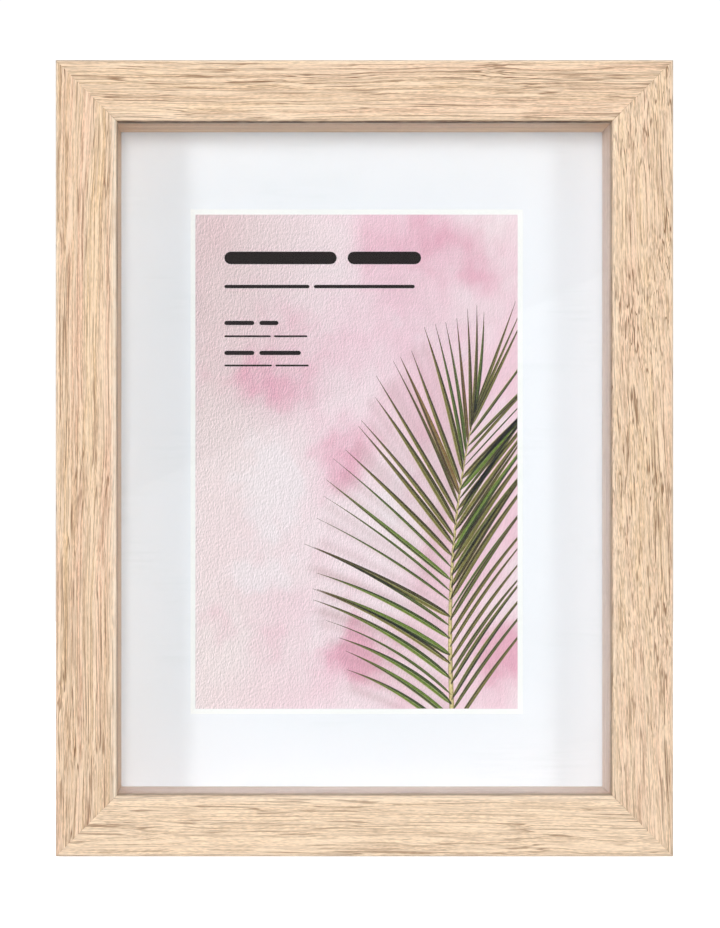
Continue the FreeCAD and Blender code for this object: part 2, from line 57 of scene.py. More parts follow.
left_rail, right_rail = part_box("veneer_left"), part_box("veneer_right")
outer_low, outer_high = left_rail[0], right_rail[1]
outer_low.z, outer_high.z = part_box("veneer_bottom")[0].z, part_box("veneer_top")[1].z
front_y = outer_low.y
glass_front_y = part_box("glass_pane")[0].y
picture_low, picture_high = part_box("picture_sheet")
openings = {o["name"]: o["box_m"] for o in record["physics"]["openings"]}
window_low, window_high = (Vector(corner) for corner in openings["mat_window"])
mat_low, mat_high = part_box("window_mat")
FACE_WIDTH = left_rail[1].x - left_rail[0].x
INK_LIFT = 0.012 * MM         # how far the print lies in front of the paper
INK_UNDER_MAT = 0.05 * MM     # how far the print runs on under the mat


# ---- colour and node helpers -----------------------------------------------------------------
def linear(red, green, blue, alpha=1.0):
    """A display colour, 0 to 255 each, as the linear values that shaders take."""
    values = []
    for channel in (red, green, blue):
        c = channel / 255
        values.append(c / 12.92 if c <= 0.04045 else ((c + 0.055) / 1.055) ** 2.4)
    return (*values, alpha)


class Graph:
    """A material under construction."""

    def __init__(self, name):
        self.material = bpy.data.materials.new(name)
        self.material.use_nodes = True
        self.tree = self.material.node_tree
        self.tree.nodes.clear()

    def add(self, kind, inputs=None, **settings):
        node = self.tree.nodes.new("ShaderNode" + kind)
        for key, value in settings.items():
            setattr(node, key, value)
        for key, value in (inputs or {}).items():
            if isinstance(value, bpy.types.NodeSocket):
                self.tree.links.new(value, node.inputs[key])
            else:
                node.inputs[key].default_value = value
        return node

    def place(self):
        """The point on the object, in millimetres."""
        point = self.add("TexCoord").outputs["Object"]
        return self.vector("MULTIPLY", point, (1000, 1000, 1000))

    def vector(self, operation, a, b):
        return self.add("VectorMath", {0: a, 1: b}, operation=operation).outputs["Vector"]

    def math(self, operation, a, b=0.0, clamp=False):
        return self.add("Math", {0: a, 1: b}, operation=operation, use_clamp=clamp).outputs["Value"]

    def noise(self, point, frequency, detail=2.0, roughness=0.5, shift=0.0):
        """Noise in 0 to 1, with a frequency per millimetre along each axis."""
        spot = self.vector("MULTIPLY", point, frequency)
        if shift:
            spot = self.vector("ADD", spot, (shift, shift * 1.7, shift * 0.6))
        inputs = {"Vector": spot, "Scale": 1.0, "Detail": detail, "Roughness": roughness}
        return self.add("TexNoise", inputs)

    def level(self, value, low, high, to_low=0.0, to_high=1.0):
        """value taken from low..high to to_low..to_high, smoothly."""
        inputs = {"Value": value, "From Min": low, "From Max": high}
        inputs.update({"To Min": to_low, "To Max": to_high})
        return self.add("MapRange", inputs, interpolation_type="SMOOTHSTEP").outputs["Result"]

    def mix(self, share, a, b, blend="MIX"):
        """Colour a and colour b, by share."""
        node = self.add("Mix", data_type="RGBA", blend_type=blend)
        for socket, value in ((node.inputs[0], share), (node.inputs[6], a), (node.inputs[7], b)):
            if isinstance(value, bpy.types.NodeSocket):
                self.tree.links.new(value, socket)
            else:
                socket.default_value = value
        return node.outputs[2]

    def scaled(self, colour, share):
        """A colour times a number, which may be over 1."""
        grey = self.add("CombineXYZ", {"X": share, "Y": share, "Z": share}).outputs["Vector"]
        return self.mix(1.0, colour, grey, "MULTIPLY")

    def ramp(self, value, stops):
        """A colour by position, from (position, colour) stops."""
        node = self.add("ValToRGB", {"Fac": value})
        elements = node.color_ramp.elements
        while len(elements) < len(stops):
            elements.new(0.5)
        for element, (position, colour) in zip(elements, stops):
            element.position = position
            element.color = colour
        return node.outputs["Color"]

    def bump(self, height, distance_mm, strength=1.0):
        inputs = {"Height": height, "Distance": distance_mm * MM, "Strength": strength}
        return self.add("Bump", inputs).outputs["Normal"]

    def finish(self, **inputs):
        """A Principled shader to the output. Input names are given with _ for a space."""
        named = {key.replace("_", " "): value for key, value in inputs.items()}
        shader = self.add("BsdfPrincipled", named)
        self.output(shader.outputs["BSDF"])
        return self.material

    def output(self, shader):
        self.add("OutputMaterial", {"Surface": shader})
        return self.material


def linked(name, mesh):
    """A new object in the scene."""
    piece = bpy.data.objects.new(name, mesh)
    bpy.context.scene.collection.objects.link(piece)
    return piece


# ---- wood ---------------------------------------------------------------------------------------
def along_grain(axis, along, across):
    """A frequency, or a length, that differs along and across the grain."""
    return tuple(along if i == axis else across for i in range(3))


def grain_place(g, axis, seed, lean):
    """The point that the grain is drawn at: leaning off the axis by lean, and wavering a little."""
    point = g.vector("ADD", g.place(), (seed * 37.0, seed * 11.0, seed * 53.0))
    if lean:
        parts = g.add("SeparateXYZ", {"Vector": point})
        drift = g.math("MULTIPLY", parts.outputs[axis], lean)
        drift = g.add("CombineXYZ", {"X": drift, "Y": drift, "Z": drift}).outputs["Vector"]
        point = g.vector("ADD", point, g.vector("MULTIPLY", drift, along_grain(axis, 0, 1)))
    sway = g.noise(point, along_grain(axis, 0.016, 0.06), 2.0).outputs["Color"]
    sway = g.vector("SUBTRACT", sway, (0.5, 0.5, 0.5))
    return g.vector("ADD", point, g.vector("MULTIPLY", sway, along_grain(axis, 0, SWAY_MM)))


def grain_lines(g, point, axis, frequency, width, shift):
    """Thin wavering lines along the grain, 0 to 1: where a stretched noise passes its middle value."""
    field = g.noise(point, along_grain(axis, *frequency), 2.0, 0.45, shift).outputs["Fac"]
    off = g.math("ABSOLUTE", g.math("SUBTRACT", field, 0.5))
    return g.level(off, width, width * 0.2)


def wear_highlight_and_shade(g, point, colour):
    """The colour with the edges' pale wear and painted highlight, and their dark seam and painted
    shade, laid over it, a little patchily.
    """
    wear_and_highlight = g.add("Attribute", attribute_name="wear_and_highlight").outputs["Fac"]
    seam_and_shade = g.add("Attribute", attribute_name="seam_and_shade").outputs["Fac"]
    patchy = g.noise(point, (0.25, 0.25, 0.25), 2.0, 0.5, 6.6).outputs["Fac"]
    patchy = g.level(patchy, 0.3, 0.6, 0.6, 1.0)
    colour = g.mix(g.math("MULTIPLY", wear_and_highlight, patchy), colour, WEAR_AND_HIGHLIGHT_EDGE)
    return g.mix(g.math("MULTIPLY", seam_and_shade, patchy), colour, SEAM_AND_SHADE_EDGE)


def wood(name, axis, seed, tones, pore_colour, pore_strength, lean=0.0, base_rough=0.6, painted_lift=0.0):
    """Open-pored wood with its grain along axis: tone bands, fine fibre, and dark pores cut into it."""
    g = Graph(name)
    point = grain_place(g, axis, seed, lean)
    rings = g.noise(point, along_grain(axis, 0.0035, 0.19), 2.0, 0.6, 3.1).outputs["Fac"]
    streaks = g.noise(point, along_grain(axis, 0.005, 0.80), 2.0, 0.6, 7.7).outputs["Fac"]
    fibre = g.noise(point, along_grain(axis, 0.55, 4.4), 1.0, 0.5, 4.9).outputs["Fac"]
    hue = g.noise(point, along_grain(axis, 0.007, 0.38), 1.0, 0.5, 9.4).outputs["Fac"]
    broken = g.noise(point, along_grain(axis, 0.055, 0.9), 1.0, 0.5, 2.2).outputs["Fac"]
    long_pores = grain_lines(g, point, axis, (0.0085, 1.25), 0.048, 5.5)
    short_pores = grain_lines(g, point, axis, (0.022, 2.2), 0.065, 8.3)
    pale_lines = grain_lines(g, point, axis, (0.011, 1.35), 0.100, 1.3)

    light, middle, dark, pink, yellow = tones
    tone = g.math("ADD", g.math("MULTIPLY", rings, 0.45), g.math("MULTIPLY", streaks, 0.55))
    colour = g.ramp(tone, [(0.30, dark), (0.50, middle), (0.70, light)])
    colour = g.mix(g.level(hue, 0.51, 0.66, 0.0, 0.6), colour, pink)
    colour = g.mix(g.level(hue, 0.49, 0.34, 0.0, 0.55), colour, yellow)
    # Painted light: the whole side drawn towards its light tone, by a set share per side.
    colour = g.mix(painted_lift, colour, light)
    colour = g.scaled(colour, g.level(fibre, 0.3, 0.7, 0.82, 1.18))
    colour = g.mix(g.math("MULTIPLY", pale_lines, 0.55), colour, PALE_GRAIN)

    early = g.level(rings, 0.38, 0.62, 1.0, 0.7)
    long_pores = g.math("MULTIPLY", long_pores, g.level(broken, 0.40, 0.54, 0.2, 1.0))
    short_pores = g.math("MULTIPLY", short_pores, g.level(broken, 0.58, 0.46, 0.0, 0.55))
    pore = g.math("MULTIPLY", g.math("MAXIMUM", long_pores, short_pores), early)
    colour = g.mix(g.math("MULTIPLY", pore, pore_strength), colour, pore_colour)
    colour = wear_highlight_and_shade(g, point, colour)

    height = g.math("ADD", g.math("MULTIPLY", pale_lines, 0.25), g.math("MULTIPLY", fibre, 0.15))
    height = g.math("SUBTRACT", height, g.math("MULTIPLY", pore, 0.8))
    rough = g.math("ADD", g.math("MULTIPLY", pore, 0.2), base_rough)
    return g.finish(Base_Color=colour, Roughness=rough, Specular_IOR_Level=0.3,
                    Normal=g.bump(height, 0.16, 0.7))


# Wood tones are light, middle, dark, pink and yellow.
# Edge colours: pale wear that is also painted highlight, and a dark seam deepened by painted shade.
WEAR_AND_HIGHLIGHT_EDGE = linear(249, 235, 216)
SEAM_AND_SHADE_EDGE = linear(78, 50, 32)
OAK = (linear(231, 205, 176), linear(216, 185, 155), linear(197, 163, 130), linear(221, 179, 154),
       linear(223, 191, 149))
OAK_PORE = linear(116, 78, 46)
PALE_GRAIN = linear(242, 218, 191)
# Spacer tones: a lighter set for the right and bottom walls, painted light, and a darker, browner set
# for the top and left walls, painted shade.
FOIL_PAINTED_LIGHT = (linear(253, 235, 226), linear(249, 228, 218), linear(236, 212, 202), linear(248, 223, 215),
        linear(250, 228, 213))
FOIL_PAINTED_SHADE = (linear(253, 224, 188), linear(230, 192, 154), linear(192, 152, 112),
              linear(228, 186, 150), linear(236, 200, 156))
FOIL_PORE = linear(170, 140, 124)
SWAY_MM = 3.4
GRAIN_AXIS = {"top": 0, "bottom": 0, "left": 2, "right": 2}
# For each side: the share of the light tone, which is painted light (the bottom lightest, the left
# darkest), the pores' strength, and the grain's slope off its axis.
PAINTED_LIGHT_LIFT = {"top": 0.5, "bottom": 1.0, "left": 0.05, "right": 0.45}
PORES = {"top": 0.80, "bottom": 0.66, "left": 0.88, "right": 0.82}
LEAN = {"top": 0.0, "bottom": 0.008, "left": -0.012, "right": 0.045}


def fibreboard():
    """Raw board: a fine felt of fibres with darker flecks."""
    g = Graph("raw_fibreboard")
    point = g.place()
    felt = g.noise(point, (2.2, 2.2, 2.2), 4.0, 0.65).outputs["Fac"]
    cloud = g.noise(point, (0.06, 0.06, 0.06), 2.0, 0.5, 4.0).outputs["Fac"]
    fleck = g.noise(point, (1.1, 1.1, 0.5), 2.0, 0.6, 8.0).outputs["Fac"]
    stops = [(0.30, linear(150, 116, 84)), (0.55, linear(181, 147, 112)), (0.75, linear(200, 168, 132))]
    colour = g.ramp(felt, stops)
    colour = g.mix(g.level(cloud, 0.35, 0.7, 0.0, 0.35), colour, linear(160, 126, 92))
    colour = g.mix(g.level(fleck, 0.66, 0.74, 0.0, 0.6), colour, linear(112, 82, 56))
    return g.finish(Base_Color=colour, Roughness=g.level(felt, 0.3, 0.7, 0.95, 0.8),
                    Specular_IOR_Level=0.2, Normal=g.bump(felt, 0.12, 0.8))


def hardboard():
    """The back board's and the strut's smooth brown face."""
    g = Graph("brown_hardboard")
    point = g.place()
    felt = g.noise(point, (1.3, 1.3, 1.3), 5.0, 0.7).outputs["Fac"]
    cloud = g.noise(point, (0.035, 0.05, 0.035), 3.0, 0.55, 2.0).outputs["Fac"]
    strand = g.noise(point, (0.45, 1.0, 2.6), 2.0, 0.6, 6.0).outputs["Fac"]
    stops = [(0.32, linear(104, 76, 52)), (0.52, linear(132, 98, 68)), (0.72, linear(152, 117, 84))]
    colour = g.ramp(felt, stops)
    colour = g.mix(g.level(cloud, 0.38, 0.66, 0.0, 0.45), colour, linear(118, 84, 56))
    colour = g.mix(g.level(strand, 0.66, 0.76, 0.0, 0.5), colour, linear(176, 142, 106))
    return g.finish(Base_Color=colour, Roughness=g.level(felt, 0.3, 0.7, 0.62, 0.45),
                    Specular_IOR_Level=0.35, Normal=g.bump(felt, 0.05, 0.6))


# ---- moulding veneers ---------------------------------------------------------------------------
VENEER = 0.5 * MM
OUTER_ARRIS = 0.7 * MM
INNER_ARRIS = 1.1 * MM
SEAM_DEPTH = 0.28 * MM        # a fine seam where the veneer turns into the opening
MITRE_GAP = 0.02 * MM
MITRE_EDGE = 0.10 * MM        # the length over which the face falls into the mitre's hairline
RAIL_STEPS = 90
WEAR_AND_HIGHLIGHT_WIDTH = 1.3 * MM
SEAM_AND_SHADE_DEPTH = 3.5 * MM


def quarter(centre, radius, start, steps):
    """Points on a quarter circle, from start degrees on, clockwise."""
    points = []
    for i in range(steps + 1):
        angle = math.radians(start - 90 * i / steps)
        points.append((centre[0] + radius * math.cos(angle), centre[1] + radius * math.sin(angle)))
    return points


def veneer_profile():
    """(distance in from the outer face, distance back from the front), around the veneer's section."""
    depth = outer_high.y - front_y
    lip = glass_front_y - front_y
    width = FACE_WIDTH
    outer_turn = quarter((OUTER_ARRIS, OUTER_ARRIS), OUTER_ARRIS, 180, 5)
    outer_turn = [(u, 2 * OUTER_ARRIS - y) for u, y in outer_turn]
    inner_turn = quarter((width - INNER_ARRIS, INNER_ARRIS), INNER_ARRIS, 90, 8)
    inner_turn = [(u, 2 * INNER_ARRIS - y) for u, y in inner_turn]
    face = [(OUTER_ARRIS + (width - OUTER_ARRIS - INNER_ARRIS) * i / 12, 0) for i in range(1, 12)]
    seam = [(width, 1.35 * MM), (width - SEAM_DEPTH, 1.5 * MM), (width - SEAM_DEPTH, 1.7 * MM),
            (width, 1.85 * MM), (width, 3.4 * MM), (width, 4.6 * MM)]
    inside = [(width, lip), (width - VENEER, lip), (width - VENEER, VENEER + 0.4 * MM),
              (width - VENEER - 0.4 * MM, VENEER), (VENEER, VENEER), (VENEER, depth)]
    return [(0, depth), (0, depth / 2)] + outer_turn + face + inner_turn + seam + inside


# How far each side's edges are made pale, wear with painted highlight, most on the left, and how dark
# its hairline at the opening is, a seam with painted shade, most on the top where the edge faces down.
WEAR_AND_HIGHLIGHT_BY_SIDE = {"left": 0.85, "right": 0.3, "top": 0.15, "bottom": 0.4}
SEAM_AND_SHADE_BY_SIDE = {"left": 0.3, "right": 0.3, "top": 1.0, "bottom": 0.4}


def edge_tone(u, back, side):
    """Shares of pale wear with painted highlight, and of dark seam with painted shade, at a point of
    the section.
    """
    inner_edge = FACE_WIDTH - WEAR_AND_HIGHLIGHT_WIDTH
    # The inner arris: pale wear with painted highlight, running into a dark seam with painted shade.
    if u > inner_edge and back < 1.15 * MM:
        share = (u - inner_edge) / WEAR_AND_HIGHLIGHT_WIDTH
        wear_and_highlight = math.sin(math.pi * min(1.0, share * 1.1)) ** 0.7 if share < 0.9 else 0.0
        seam_and_shade = max(0.0, (share - 0.72) / 0.28)
        return 0.8 * wear_and_highlight * WEAR_AND_HIGHLIGHT_BY_SIDE[side], seam_and_shade * SEAM_AND_SHADE_BY_SIDE[side]
    # The wall inside the opening: a little painted light, and painted shade near the front.
    if u > inner_edge:
        return 0.3, (0.85 if back < SEAM_AND_SHADE_DEPTH else 0.0) * SEAM_AND_SHADE_BY_SIDE[side]
    # The outer front arris: pale wear with painted highlight.
    if u < OUTER_ARRIS and back < OUTER_ARRIS:
        return 0.25, 0.0
    return 0.0, 0.0


def mitre_dip(u):
    """How far the face falls at the mitre: a hairline, wider open towards the opening."""
    return 0.12 * max(0.0, (u / FACE_WIDTH - 0.65) / 0.35) * MM


def run_at(step, u, length):
    """The distance along a rail of a step of its mesh, between mitres at 45 degrees."""
    first, last = u + MITRE_GAP, length - u - MITRE_GAP
    if step <= 1:
        return first + MITRE_EDGE if step else first
    if step >= RAIL_STEPS - 1:
        return last if step == RAIL_STEPS else last - MITRE_EDGE
    return first + MITRE_EDGE + (last - first - 2 * MITRE_EDGE) * (step - 1) / (RAIL_STEPS - 2)


def edge_wave(wave, run):
    """How far a hand-sanded edge falls at a distance along the rail."""
    return sum(size * math.sin(run * 1000 / pitch * 6.28 + turn) for pitch, turn, size in wave) * MM


def veneer_rail(side):
    """One side's veneer, with eased arrises, a seam inside the opening and a hairline at each mitre."""
    dice = random.Random(40 + len(side))
    wave = [(dice.uniform(8, 40), dice.uniform(0, 6.28), dice.uniform(0.008, 0.016)) for _ in range(4)]
    upright = side in ("left", "right")
    length = (outer_high.z - outer_low.z) if upright else (outer_high.x - outer_low.x)
    profile = veneer_profile()
    points, faces = [], []
    for step in range(RAIL_STEPS + 1):
        for u, back in profile:
            run = run_at(step, u, length)
            y = front_y + back
            if back < 0.2 * MM and step in (0, RAIL_STEPS):
                y += mitre_dip(u)
            if 0 < back < 1.2 * MM and (u < 0.7 * MM or u > FACE_WIDTH - 1.2 * MM):
                y += max(0.0, edge_wave(wave, run))
            across = u if side in ("left", "bottom") else -u
            if upright:
                start = outer_low.x if side == "left" else outer_high.x
                points.append((start + across, y, outer_low.z + run))
            else:
                start = outer_low.z if side == "bottom" else outer_high.z
                points.append((outer_low.x + run, y, start + across))
    count = len(profile)
    for step in range(RAIL_STEPS):
        for i in range(count):
            a, b = step * count + i, step * count + (i + 1) % count
            faces.append((a, b, b + count, a + count))
    faces.append(tuple(range(count)))
    faces.append(tuple(RAIL_STEPS * count + i for i in range(count)))
    piece = solid_mesh(f"oak_rail_{side}", points, faces, 40)
    tones = [edge_tone(u, back, side) for u, back in profile] * (RAIL_STEPS + 1)
    for name, column in (("wear_and_highlight", 0), ("seam_and_shade", 1)):
        layer = piece.data.attributes.new(name, "FLOAT", "POINT")
        layer.data.foreach_set("value", np.array([tone[column] for tone in tones], np.float32))
    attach(piece, "frame")
    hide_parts(f"veneer_{side}")
    return piece


def solid_mesh(name, points, faces, sharp_degrees):
    """A closed mesh object with outward faces, smooth but for edges past an angle."""
    mesh = bpy.data.meshes.new(name)
    mesh.from_pydata(points, [], faces)
    shape = bmesh.new()
    shape.from_mesh(mesh)
    bmesh.ops.triangulate(shape, faces=[f for f in shape.faces if len(f.verts) > 4])
    bmesh.ops.recalc_face_normals(shape, faces=shape.faces)
    shape.to_mesh(mesh)
    shape.free()
    mesh.shade_smooth()
    mesh.set_sharp_from_angle(angle=math.radians(sharp_degrees))
    return linked(name, mesh)


# ---- mat ------------------------------------------------------------------------------------------
BEVEL_FRONT_LEAN = 0.72       # how far the bevel's shading leans to the front, as soft cut board looks
CUT_MARGIN = 0.1 * MM         # how far the cut's rear edge stands back from the window
CUT_FLAT = 0.08 * MM          # the straight part at the cut's rear edge


def mat_piece():
    """The window mat: a sheet with a hole cut at 45 degrees, its soft core showing in the cut."""
    thick = mat_high.y - mat_low.y
    margin = Vector((CUT_MARGIN, 0, CUT_MARGIN))
    low, high = window_low - margin, window_high + margin
    rings = (
        (mat_low.x, mat_high.x, mat_low.z, mat_high.z, mat_high.y),
        (mat_low.x, mat_high.x, mat_low.z, mat_high.z, mat_low.y),
        (low.x - thick, high.x + thick, low.z - thick, high.z + thick, mat_low.y),
        (low.x, high.x, low.z, high.z, mat_high.y - CUT_FLAT),
        (low.x, high.x, low.z, high.z, mat_high.y),
    )
    points = []
    for x0, x1, z0, z1, y in rings:
        points += [(x0, y, z0), (x1, y, z0), (x1, y, z1), (x0, y, z1)]
    faces = []
    for ring in range(5):
        after = (ring + 1) % 5
        for i in range(4):
            j = (i + 1) % 4
            faces.append((ring * 4 + i, ring * 4 + j, after * 4 + j, after * 4 + i))
    piece = solid_mesh("mat_board", points, faces, 20)
    mesh = piece.data
    normals = []
    for face in mesh.polygons:
        normal = face.normal.copy()
        if -0.95 < normal.y < -0.3:
            normal = normal.lerp(Vector((0, -1, 0)), BEVEL_FRONT_LEAN).normalized()
            face.material_index = 1
        normals += [normal] * face.loop_total
    mesh.normals_split_custom_set(normals)
    mesh.materials.append(mat_board("mat_face", linear(231, 234, 242), linear(237, 239, 247)))
    mesh.materials.append(mat_board("mat_core", linear(243, 243, 245), linear(249, 249, 249)))
    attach(piece, "mat")
    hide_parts("window_mat")


# ---- other materials ----------------------------------------------------------------------------
def clear_glass():
    """Float glass: light passes straight through, and a share is mirrored by angle."""
    g = Graph("clear_glass")
    point = g.place()
    haze = g.noise(point, (0.03, 0.03, 0.05), 3.0, 0.6, 2.0).outputs["Fac"]
    wipes = g.noise(point, (0.05, 0.05, 0.9), 2.0, 0.6, 5.0).outputs["Fac"]
    film = g.math("MULTIPLY", g.level(haze, 0.45, 0.7), g.level(wipes, 0.4, 0.65))
    tint = g.mix(film, (0.985, 0.995, 0.99, 1), (0.972, 0.985, 0.978, 1))
    through = g.add("BsdfTransparent", {"Color": tint})
    blur = g.level(film, 0.0, 1.0, 0.015, 0.07)
    mirror = g.add("BsdfGlossy", {"Color": (1, 1, 1, 1), "Roughness": blur})
    turned = g.add("LayerWeight", {"Blend": 0.5}).outputs["Facing"]
    share = g.math("ADD", g.math("MULTIPLY", g.math("POWER", turned, 5.0), 0.9), 0.026)
    mixed = g.add("MixShader", {0: share, 1: through.outputs[0], 2: mirror.outputs[0]})
    return g.output(mixed.outputs[0])


def mat_board(name, dull, bright):
    """White board with a faint tooth, between two whites."""
    g = Graph(name)
    point = g.place()
    tooth = g.noise(point, (2.4, 2.4, 2.4), 4.0, 0.6).outputs["Fac"]
    cloud = g.noise(point, (0.02, 0.02, 0.02), 1.0, 0.5, 3.0).outputs["Fac"]
    colour = g.mix(g.level(tooth, 0.3, 0.7), dull, bright)
    colour = g.mix(g.level(cloud, 0.35, 0.65, 0.0, 0.4), colour, dull)
    return g.finish(Base_Color=colour, Roughness=g.level(tooth, 0.3, 0.7, 0.85, 0.7),
                    Specular_IOR_Level=0.2, Normal=g.bump(tooth, 0.03, 0.5))


def plated_metal(name, tint, grain_axis, roughness):
    """Nickel or zinc plated steel with fine rolling marks and handling smudges."""
    g = Graph(name)
    point = g.place()
    marks = g.noise(point, along_grain(grain_axis, 0.2, 7.0), 2.0, 0.6).outputs["Fac"]
    smudge = g.noise(point, (0.16, 0.16, 0.16), 3.0, 0.6, 5.0).outputs["Fac"]
    dull = g.level(smudge, 0.4, 0.7, 0.0, 0.35)
    colour = g.mix(dull, tint, linear(168, 163, 152))
    blur = g.level(smudge, 0.35, 0.7, roughness, roughness + 0.16)
    rough = g.math("ADD", g.math("MULTIPLY", marks, 0.16), blur)
    return g.finish(Base_Color=colour, Metallic=1.0, Roughness=rough,
                    Normal=g.bump(marks, 0.015, 0.5))


def soft_rubber():
    """Dull black rubber with a fine skin."""
    g = Graph("soft_rubber")
    point = g.place()
    skin = g.noise(point, (1.8, 1.8, 1.8), 3.0, 0.6).outputs["Fac"]
    colour = g.mix(g.level(skin, 0.3, 0.7), linear(40, 39, 38), linear(62, 60, 58))
    return g.finish(Base_Color=colour, Roughness=g.level(skin, 0.3, 0.7, 0.75, 0.55),
                    Specular_IOR_Level=0.4, Normal=g.bump(skin, 0.05, 0.6))


def dress(node, material, eased=0.0):
    """Gives a carried-over CAD node its material, and eases its edges by so many metres."""
    for slot in frame["nodes"][node].material_slots:
        slot.material = material
    if eased:
        bevel = frame["nodes"][node].modifiers.new("eased_edges", "BEVEL")
        bevel.width = eased
        bevel.segments = 2
        bevel.limit_method = "ANGLE"
        bevel.angle_limit = math.radians(50)


BOARD_EASE = 0.2 * MM
STRUT_EASE = 0.25 * MM
STAMPED_EASE = 0.08 * MM
STAMPED = ("hanger_upright", "hanger_sideways", "hinge_fixed_leaf", "hinge_moving_leaf")
BRIGHT = ("turn_button_screws", "hanger_nails", "corner_v_nails", "board_rivets", "strut_rivets",
          "hinge_pin")


def dress_frame():
    """The four sides, and a material for every CAD node that stays."""
    board, raw = hardboard(), fibreboard()
    for number, (side, axis) in enumerate(GRAIN_AXIS.items()):
        oak = wood(f"oak_{side}", axis, number + 1.0, OAK, OAK_PORE, PORES[side], LEAN[side],
                   0.6, PAINTED_LIGHT_LIFT[side])
        # Painted shade on the top and left spacers, painted light on the right and bottom ones.
        tones = FOIL_PAINTED_SHADE if side in ("top", "left") else FOIL_PAINTED_LIGHT
        foil = wood(f"foil_{side}", axis, number + 9.0, tones, FOIL_PORE, 0.4, 0.0, 0.45)
        veneer_rail(side).data.materials.append(oak)
        dress(f"spacer_{side}", foil)
        dress(f"moulding_core_{side}", raw)
    dress("glass_pane", clear_glass())
    dress("backing_board", board, BOARD_EASE)
    dress("easel_strut", board, STRUT_EASE)
    dress("wall_bumpers", soft_rubber())
    stamped = plated_metal("nickel_plate", linear(214, 210, 200), 2, 0.22)
    bright = plated_metal("zinc_plate", linear(224, 222, 216), 1, 0.18)
    for node in STAMPED:
        dress(node, stamped, STAMPED_EASE)
    for node in frame["nodes"]:
        if node.startswith("turn_button_") and node not in BRIGHT:
            dress(node, stamped, STAMPED_EASE)
    for node in BRIGHT:
        dress(node, bright)


# ---- picture ------------------------------------------------------------------------------------
FROND_SEED = 7
LEAFLETS = 29                 # on the left of the stalk; the right has as many
STALK_POINTS = ((75.6, -8.0), (73.6, 28.0), (74.6, 55.0), (81.8, 87.0))   # mm in the window
STALK_TOP = 87.0
STALK_STEPS = 40
STALK_SECTION = (-1.0, -0.2, 0.5, 1.0)


def stalk_at(share):
    """A point on the stalk, in mm from the window's lower left corner, and the way it runs."""
    a, b, c, d = [Vector((x, y, 0)) for x, y in STALK_POINTS]
    t, u = share, 1 - share
    point = a * u**3 + b * (3 * u * u * t) + c * (3 * u * t * t) + d * t**3
    run = (b - a) * (3 * u * u) + (c - b) * (6 * u * t) + (d - c) * (3 * t * t)
    return point, run.normalized()


def leaflet_line(share, left, dice):
    """Base, middle control point and tip of one leaflet, in mm in the window."""
    base, _ = stalk_at(share)
    height = max(0.0, base.y / STALK_TOP)
    fan = max(0.0, (height - 0.3) / 0.7)
    ease = 1 - height**5
    if left:
        rise = 27.5 + 6 * math.exp(-height / 0.05) + 68 * fan**1.08 + dice.uniform(-2, 2) * ease
        length = 47.5 - 10 * math.exp(-height / 0.07)
        length -= 17 * max(0.0, (height - 0.7) / 0.3) ** 1.2
        length *= dice.uniform(0.92, 1.06)
        bulge = 0.085 * (1 - min(1.0, height / 0.45)) + dice.uniform(0.0, 0.04)
        way = Vector((-math.cos(math.radians(rise)), math.sin(math.radians(rise)), 0))
        side = Vector((way.y, -way.x, 0))
    else:
        rise = 55 - 10 * math.exp(-((height - 0.82) / 0.12) ** 2)
        rise += 16 * max(0.0, (height - 0.88) / 0.12)
        rise += dice.uniform(-2.5, 2.5)
        length = (46 - 10 * max(0.0, (height - 0.8) / 0.2)) * dice.uniform(0.92, 1.08)
        bulge = 0.05 * (1 - height) + dice.uniform(-0.01, 0.02)
        way = Vector((math.cos(math.radians(rise)), math.sin(math.radians(rise)), 0))
        side = Vector((-way.y, way.x, 0))
    tip = base + way * length
    middle = base + way * (length * 0.5) + side * (length * bulge)
    return base, middle, tip


def on_line(line, t):
    """The point at t on a leaflet's line and the way it runs."""
    base, middle, tip = line
    u = 1 - t
    point = base * (u * u) + middle * (2 * u * t) + tip * (t * t)
    run = (middle - base) * (2 * u) + (tip - middle) * (2 * t)
    return point, run.normalized()


FRESH = (linear(91, 115, 32), linear(46, 60, 10))        # a leaflet's two halves, low on the stalk
OLIVE = (linear(105, 99, 40), linear(54, 44, 12))
DEEP = (linear(83, 85, 30), linear(42, 40, 10))
DRY = (linear(123, 93, 50), linear(68, 44, 18))
RIB = linear(204, 208, 140)
PALE_EDGE = linear(200, 182, 126)
DARK_EDGE = linear(54, 42, 20)
TIP = linear(92, 62, 38)
STALK_LIGHT = linear(206, 190, 134)
STALK_DARK = linear(140, 118, 70)
INK = linear(24, 15, 16)
RIB_PLACE = 0.02
BLADE_SECTION = (-1.0, -0.74, -0.12, RIB_PLACE, 0.14, 0.66, 1.0)     # places across a leaflet
BLADE_STEPS = 18


def blend_colour(a, b, share):
    """A colour between a, at 0, and b, at 1."""
    return tuple(x + (y - x) * share for x, y in zip(a, b))


